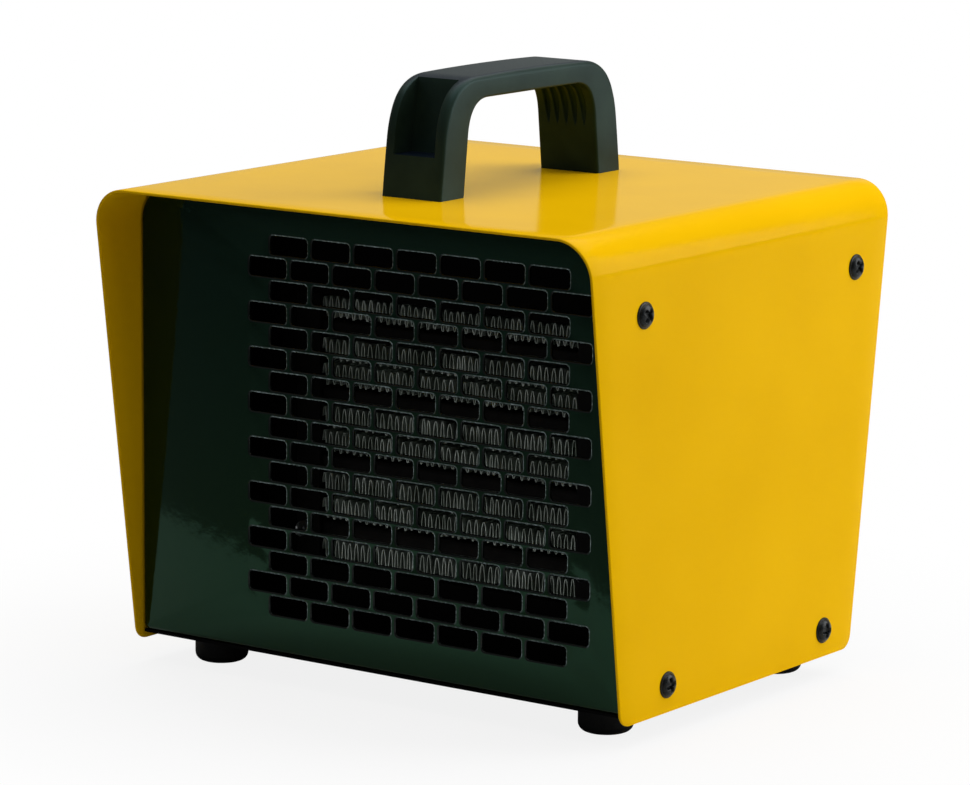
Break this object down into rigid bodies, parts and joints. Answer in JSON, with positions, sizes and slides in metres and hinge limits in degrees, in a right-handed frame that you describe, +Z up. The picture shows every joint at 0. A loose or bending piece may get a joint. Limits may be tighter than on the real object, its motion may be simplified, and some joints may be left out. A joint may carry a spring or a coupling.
{
  "type": "forced air heater",
  "caption": "Portable electric fan heater: bent steel cover with sloping sides, dark slotted front before a finned ceramic core, arched carrying handle, rubber feet, rear controls.",
  "frame": {"origin": "on the floor, under the middle of the bounding box (the cover's middle)", "axes": "+Z up, -Y to the front where the warm air leaves, +X to the right seen from the front"},
  "size_m": [0.2566, 0.226, 0.257],
  "materials": {
    "yellow_paint": "gloss enamel on sheet steel",
    "black_panel": "gloss black enamel",
    "black_plastic": "fine-grained moulded plastic",
    "black_screw": "black oxide",
    "rubber": "matt rubber",
    "zinc": "zinc plated",
    "aluminium": "mill finish",
    "galvanised": "galvanised sheet",
    "lamination": "stacked laminations",
    "winding": "enamelled copper wire, taped",
    "heat_moulding": "heat-resistant moulding",
    "pale_moulding": "off-white moulding"
  },
  "bodies": {
    "casing": {"outer_cover": "yellow_paint", "front_panel": "black_panel", "rear_panel": "black_panel", "base_tray": "black_panel", "handle": "black_plastic", "cable_gland": "black_plastic", "gland_nut": "black_plastic", "cover_screw_left_front_bottom": "black_screw", "cover_screw_left_front_top": "black_screw", "cover_screw_left_rear_bottom": "black_screw", "cover_screw_left_rear_top": "black_screw", "cover_screw_right_front_bottom": "black_screw", "cover_screw_right_front_top": "black_screw", "cover_screw_right_rear_bottom": "black_screw", "cover_screw_right_rear_top": "black_screw", "foot_left_front": "rubber", "foot_left_rear": "rubber", "foot_right_front": "rubber", "foot_right_rear": "rubber", "foot_screw_left_front": "zinc", "foot_screw_left_rear": "zinc", "foot_screw_right_front": "zinc", "foot_screw_right_rear": "zinc", "handle_screw_front": "zinc", "handle_screw_rear": "zinc", "core_terminal_left": "zinc", "core_terminal_right": "zinc", "motor_yoke_front": "zinc", "motor_yoke_rear": "zinc", "thermostat_nut": "zinc", "selector_nut": "zinc", "core_tube_1": "aluminium", "core_tube_2": "aluminium", "core_tube_3": "aluminium", "core_tube_4": "aluminium", "fin_strip_1": "aluminium", "fin_strip_2": "aluminium", "fin_strip_3": "aluminium", "fin_strip_4": "aluminium", "fin_strip_5": "aluminium", "fin_strip_6": "aluminium", "fin_strip_7": "aluminium", "fin_strip_8": "aluminium", "core_end_left": "heat_moulding", "core_end_right": "heat_moulding", "thermal_cutout": "heat_moulding", "air_duct": "black_panel", "fan_plate": "galvanised", "motor_strap": "galvanised", "motor_stator": "lamination", "motor_coil": "winding", "thermostat_body": "pale_moulding", "selector_body": "pale_moulding", "terminal_block": "pale_moulding"},
    "fan": {"fan_rotor": "aluminium", "motor_shaft": "zinc"},
    "thermostat": {"thermostat_knob": "black_plastic", "thermostat_spindle": "zinc"},
    "selector": {"selector_knob": "black_plastic", "selector_spindle": "zinc"}
  },
  "joints": [
    {"name": "fan_spin", "type": "hinge", "parent": "casing", "child": "fan", "pos_m": [0.02, 0.01, 0.1072], "axis": [0, 1, 0], "continuous": true},
    {"name": "thermostat_turn", "type": "hinge", "parent": "casing", "child": "thermostat", "pos_m": [-0.085, 0.09484, 0.1607], "axis": [0, -0.9914, 0.1305], "range_deg": [0, 270]},
    {"name": "selector_turn", "type": "hinge", "parent": "casing", "child": "selector", "pos_m": [-0.085, 0.08779, 0.10716], "axis": [0, -0.9914, 0.1305], "range_deg": [0, 135]}
  ]
}
